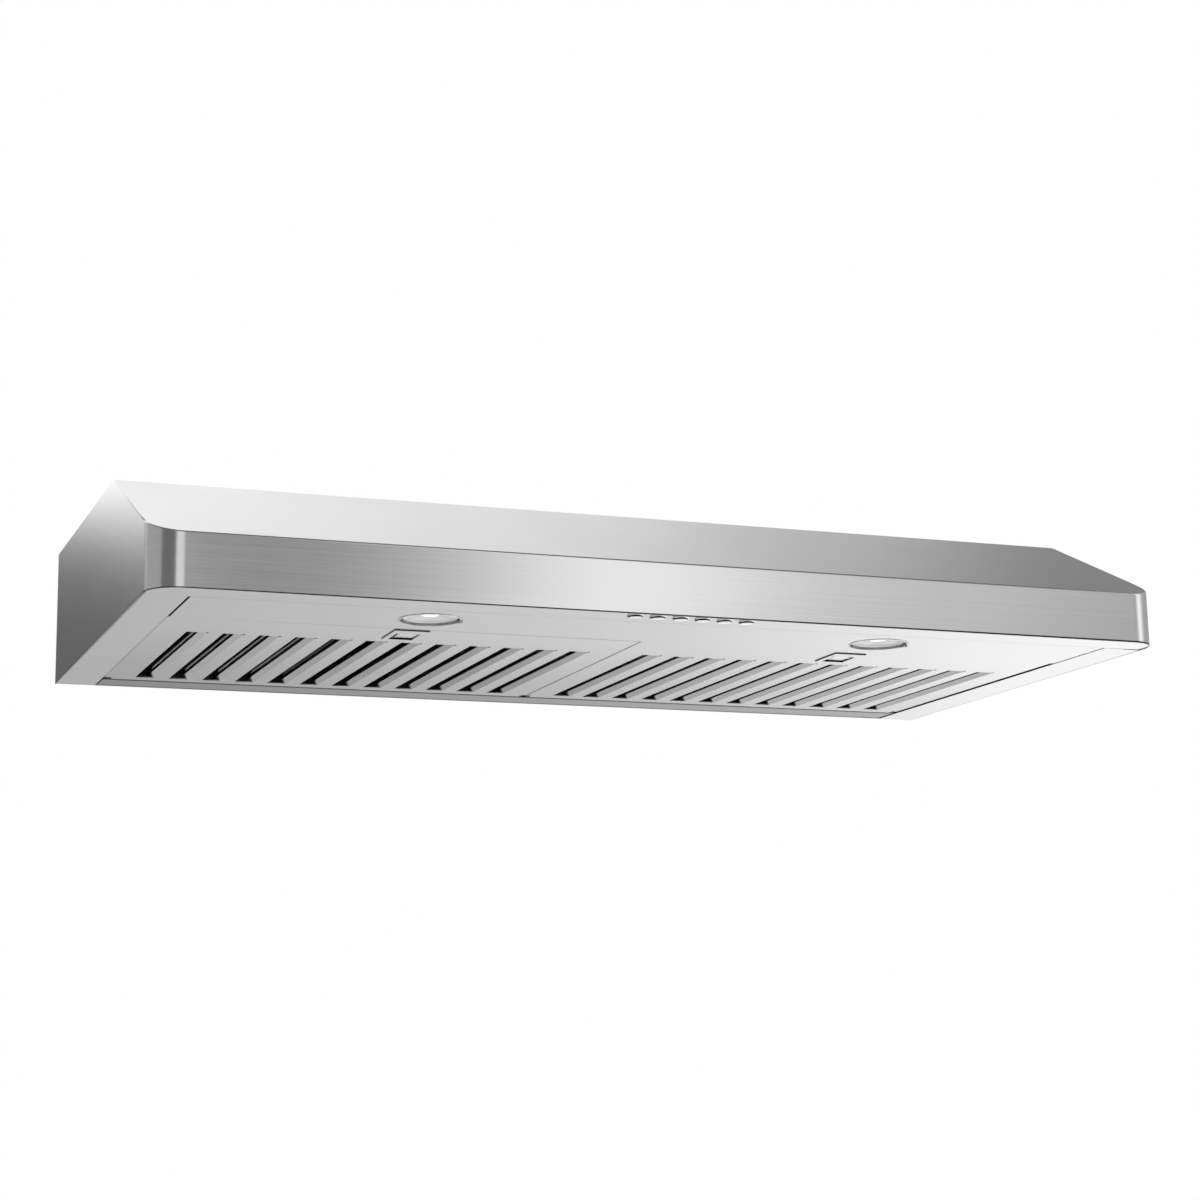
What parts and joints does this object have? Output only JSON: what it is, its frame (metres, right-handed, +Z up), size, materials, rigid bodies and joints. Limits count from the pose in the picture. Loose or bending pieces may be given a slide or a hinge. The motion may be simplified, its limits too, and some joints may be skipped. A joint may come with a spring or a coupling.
{
  "type": "under cabinet range hood",
  "caption": "Slim under cabinet range hood: folded brushed steel canopy with a sloped front, baffle filters that tilt down, round lamps, push buttons and a top duct outlet.",
  "frame": {"origin": "centre of the cabinet screw pattern, in the plane of the flat top; the hood hangs below it", "axes": "+X to the right seen from the front, +Y towards the wall, +Z up into the cabinet"},
  "size_m": [0.914, 0.476, 0.168],
  "materials": {
    "brushed_shell": "stainless steel, brushed along its length",
    "brushed_panel": "stainless steel, fine satin",
    "filter_steel": "stainless steel, satin, pressed",
    "galvanised": "galvanised sheet steel",
    "chrome": "bright chrome plate",
    "lamp_glass": "clear pressed glass",
    "lamp_disc": "frosted white diffuser",
    "cast_aluminium": "die cast, satin",
    "black_plastic": "moulded, fine matt grain",
    "white_plastic": "moulded nylon",
    "motor_can": "black baked enamel",
    "rubber_bush": "soft black rubber",
    "bright_steel": "ground steel",
    "spring_steel": "spring steel strip",
    "capacitor_can": "drawn can, satin"
  },
  "bodies": {
    "hood": {"canopy_shell": "brushed_shell", "top_panel": "galvanised", "back_panel": "galvanised", "front_lip": "brushed_panel", "left_strip": "brushed_panel", "right_strip": "brushed_panel", "light_panel": "brushed_panel", "rear_rail": "brushed_panel", "button_bezels": "chrome", "switch_bracket": "galvanised", "switch_block": "black_plastic", "lamp_left_ring": "chrome", "lamp_left_lens": "lamp_glass", "lamp_left_emitter": "lamp_disc", "lamp_left_housing": "cast_aluminium", "lamp_right_ring": "chrome", "lamp_right_lens": "lamp_glass", "lamp_right_emitter": "lamp_disc", "lamp_right_housing": "cast_aluminium", "blower_scroll": "galvanised", "blower_base": "galvanised", "motor": "motor_can", "motor_bushes": "rubber_bush", "wiring_box": "galvanised", "wiring_cover": "galvanised", "terminal_block": "white_plastic", "capacitor": "capacitor_can", "capacitor_clip": "galvanised", "duct_adapter": "galvanised", "damper_rod": "bright_steel", "adapter_screws": "bright_steel"},
    "filter_left": {"filter_left_face": "filter_steel", "filter_left_baffles": "filter_steel", "latch_left_cup": "filter_steel", "latch_left_spring": "spring_steel"},
    "filter_right": {"filter_right_face": "filter_steel", "filter_right_baffles": "filter_steel", "latch_right_cup": "filter_steel", "latch_right_spring": "spring_steel"},
    "latch_left": {"latch_left_slide": "filter_steel"},
    "latch_right": {"latch_right_slide": "filter_steel"},
    "button_1": {"button_1": "chrome"},
    "button_2": {"button_2": "chrome"},
    "button_3": {"button_3": "chrome"},
    "button_4": {"button_4": "chrome"},
    "button_5": {"button_5": "chrome"},
    "button_6": {"button_6": "chrome"},
    "fan": {"blower_wheel": "galvanised", "motor_shaft": "bright_steel"},
    "damper_front": {"damper_front_leaf": "galvanised"},
    "damper_rear": {"damper_rear_leaf": "galvanised"}
  },
  "joints": [
    {"name": "filter_left_tilt", "type": "hinge", "parent": "hood", "child": "filter_left", "pos_m": [-0.2094, 0.1083, -0.12224], "axis": [1, 0, 0], "range_deg": [0, 55]},
    {"name": "filter_right_tilt", "type": "hinge", "parent": "hood", "child": "filter_right", "pos_m": [0.2068, 0.1083, -0.12224], "axis": [1, 0, 0], "range_deg": [0, 55]},
    {"name": "latch_left_slide", "type": "slide", "parent": "filter_left", "child": "latch_left", "axis": [0, 1, 0], "range_m": [0, 0.003], "stiffness_N_per_m": 900, "springref_m": -0.002, "deforming": ["latch_left_spring"]},
    {"name": "latch_right_slide", "type": "slide", "parent": "filter_right", "child": "latch_right", "axis": [0, 1, 0], "range_m": [0, 0.003], "stiffness_N_per_m": 900, "springref_m": -0.002, "deforming": ["latch_right_spring"]},
    {"name": "button_1_press", "type": "slide", "parent": "hood", "child": "button_1", "axis": [0, 0, 1], "range_m": [0, 0.002], "stiffness_N_per_m": 800, "springref_m": -0.002},
    {"name": "button_2_press", "type": "slide", "parent": "hood", "child": "button_2", "axis": [0, 0, 1], "range_m": [0, 0.002], "stiffness_N_per_m": 800, "springref_m": -0.002},
    {"name": "button_3_press", "type": "slide", "parent": "hood", "child": "button_3", "axis": [0, 0, 1], "range_m": [0, 0.002], "stiffness_N_per_m": 800, "springref_m": -0.002},
    {"name": "button_4_press", "type": "slide", "parent": "hood", "child": "button_4", "axis": [0, 0, 1], "range_m": [0, 0.002], "stiffness_N_per_m": 800, "springref_m": -0.002},
    {"name": "button_5_press", "type": "slide", "parent": "hood", "child": "button_5", "axis": [0, 0, 1], "range_m": [0, 0.002], "stiffness_N_per_m": 800, "springref_m": -0.002},
    {"name": "button_6_press", "type": "slide", "parent": "hood", "child": "button_6", "axis": [0, 0, 1], "range_m": [0, 0.002], "stiffness_N_per_m": 800, "springref_m": -0.002},
    {"name": "fan_spin", "type": "hinge", "parent": "hood", "child": "fan", "pos_m": [0.0035, -0.042, -0.056], "axis": [0, 0, 1], "continuous": true},
    {"name": "damper_front_swing", "type": "hinge", "parent": "hood", "child": "damper_front", "pos_m": [0, 0.097, 0.012], "axis": [-1, 0, 0], "range_deg": [0, 72]},
    {"name": "damper_rear_swing", "type": "hinge", "parent": "hood", "child": "damper_rear", "pos_m": [0, 0.097, 0.012], "axis": [1, 0, 0], "range_deg": [0, 72]}
  ]
}
